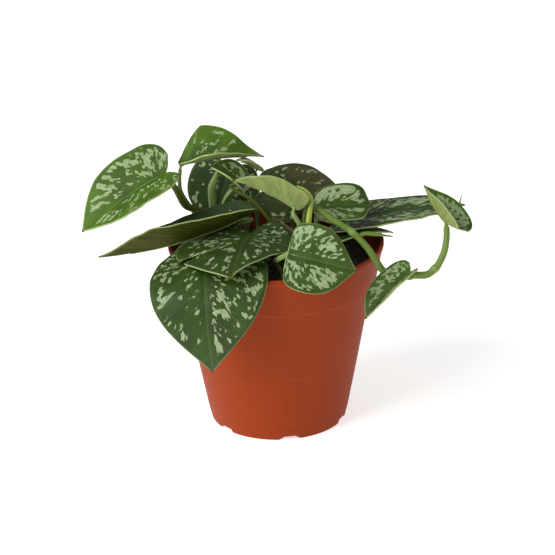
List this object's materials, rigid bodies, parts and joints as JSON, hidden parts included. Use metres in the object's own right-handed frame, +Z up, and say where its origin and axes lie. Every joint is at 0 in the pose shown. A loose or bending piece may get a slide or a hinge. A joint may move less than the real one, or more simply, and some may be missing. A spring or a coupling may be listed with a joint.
{
  "type": "potted pothos plant",
  "caption": "Bushy satin pothos with silver-blotched heart-shaped leaves and a trailing vine, in a round terracotta-coloured plastic nursery pot.",
  "frame": {"origin": "centre of the bounding box at the bottom, on the surface that the pot stands on", "axes": "+X to the right along the plant's longest spread, +Y to the back, +Z up along the pot's axis"},
  "size_m": [0.1861, 0.1323, 0.1474],
  "materials": {
    "terracotta_plastic": "matte",
    "potting_soil": "rough",
    "leaf_green": "satin",
    "stem_green": "satin",
    "shoot_green": "satin",
    "sheath_papery": "matte"
  },
  "bodies": {
    "root": {"pot": "terracotta_plastic", "soil": "potting_soil", "leaf_far_left": "leaf_green", "leaf_top": "leaf_green", "leaf_long_left": "leaf_green", "leaf_front_big": "leaf_green", "leaf_front_torn": "leaf_green", "leaf_front_heart": "leaf_green", "leaf_pale_underside": "leaf_green", "leaf_small_centre": "leaf_green", "leaf_back_brown": "leaf_green", "leaf_right_round": "leaf_green", "leaf_right_long": "leaf_green", "leaf_right_tucked": "leaf_green", "leaf_vine_tip": "leaf_green", "leaf_vine_hanging": "leaf_green", "leaf_back_left": "leaf_green", "leaf_centre_dark": "leaf_green", "leaf_back_sliver": "leaf_green", "leaf_rear_drooping": "leaf_green", "leaf_rear_left": "leaf_green", "leaf_rear_right": "leaf_green", "petiole_far_left": "stem_green", "petiole_top": "stem_green", "petiole_long_left": "stem_green", "petiole_front_big": "stem_green", "petiole_front_torn": "stem_green", "petiole_front_heart": "stem_green", "petiole_pale_underside": "stem_green", "petiole_small_centre": "stem_green", "petiole_back_brown": "stem_green", "petiole_right_round": "stem_green", "petiole_right_long": "stem_green", "petiole_right_tucked": "stem_green", "petiole_vine_tip": "stem_green", "petiole_vine_hanging": "stem_green", "petiole_back_left": "stem_green", "petiole_centre_dark": "stem_green", "petiole_back_sliver": "stem_green", "petiole_rear_drooping": "stem_green", "petiole_rear_left": "stem_green", "petiole_rear_right": "stem_green", "vine": "stem_green", "shoot_bright": "shoot_green", "shoot_winged": "shoot_green", "shoot_spear": "shoot_green", "bud_vine": "shoot_green", "bud_left": "shoot_green", "sheath_pale": "sheath_papery", "sheath_dry": "sheath_papery"}
  },
  "joints": []
}
